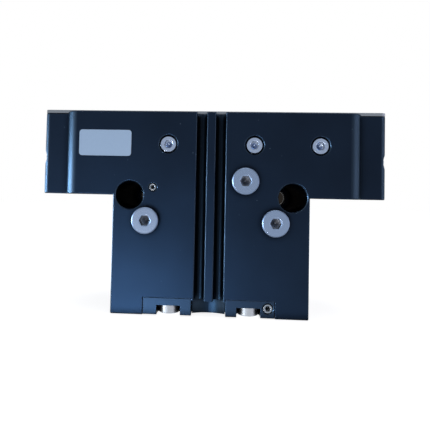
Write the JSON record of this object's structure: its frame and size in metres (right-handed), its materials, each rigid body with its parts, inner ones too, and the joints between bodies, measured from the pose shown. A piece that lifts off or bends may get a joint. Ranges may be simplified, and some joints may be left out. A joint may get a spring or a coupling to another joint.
{
  "type": "pneumatic parallel gripper",
  "caption": "T-shaped pneumatic parallel gripper with wedge hook drive, toothed jaw rails, sensor slots and plugged ports.",
  "frame": {"origin": "centre of the bolt pattern on the flange face at the bottom of the housing", "axes": "+Z from the flange to the jaws, +X along the jaw stroke to the right jaw, front face towards -Y"},
  "size_m": [0.179, 0.0842, 0.1074],
  "materials": {
    "black_anodised_aluminium": "satin black anodised",
    "ground_steel": "ground and hardened",
    "plated_steel": "zinc plated",
    "chromed_rod": "hard chromed and polished",
    "plain_aluminium": "turned, clear anodised",
    "spring_steel": "phosphated",
    "bronze": "sintered",
    "bearing_plastic": "matte",
    "bonded_magnet": "matte",
    "black_rubber": "matte",
    "label_foil": "satin foil, blank"
  },
  "bodies": {
    "housing": {"housing": "black_anodised_aluminium", "front_guide_rail": "ground_steel", "rear_guide_rail": "ground_steel", "front_rail_screws": "plated_steel", "rear_rail_screws": "plated_steel", "rod_bush": "bronze", "rod_seal": "black_rubber", "cylinder_cover": "plain_aluminium", "cover_o_ring": "black_rubber", "cover_retaining_ring": "spring_steel", "left_port_plug": "plated_steel", "right_port_plug": "plated_steel", "purge_port_plug": "plated_steel", "plug_sealing_rings": "plain_aluminium", "passage_set_screw": "plated_steel", "left_clamp_block": "black_anodised_aluminium", "right_clamp_block": "black_anodised_aluminium", "clamp_block_screws": "plated_steel", "clamp_set_screw": "plated_steel", "grease_nipples": "plated_steel", "label_plate": "label_foil"},
    "piston_unit": {"wedge_hook": "ground_steel", "piston_rod": "chromed_rod", "piston": "plain_aluminium", "piston_screw": "plated_steel", "piston_guide_band": "bearing_plastic", "piston_magnet": "bonded_magnet", "piston_seal": "black_rubber", "end_cushions": "black_rubber"},
    "left_jaw": {"left_jaw": "ground_steel"},
    "right_jaw": {"right_jaw": "ground_steel"}
  },
  "joints": [
    {"name": "piston_slide", "type": "slide", "parent": "housing", "child": "piston_unit", "axis": [0, 0, 1], "range_m": [0, 0.02]},
    {"name": "left_jaw_slide", "type": "slide", "parent": "housing", "child": "left_jaw", "axis": [-1, 0, 0], "range_m": [0, 0.016]},
    {"name": "right_jaw_slide", "type": "slide", "parent": "housing", "child": "right_jaw", "axis": [1, 0, 0], "range_m": [0, 0.016]}
  ],
  "couplings": [
    {"joint": "left_jaw_slide", "follows": "piston_slide", "ratio": 0.8},
    {"joint": "right_jaw_slide", "follows": "piston_slide", "ratio": 0.8}
  ]
}
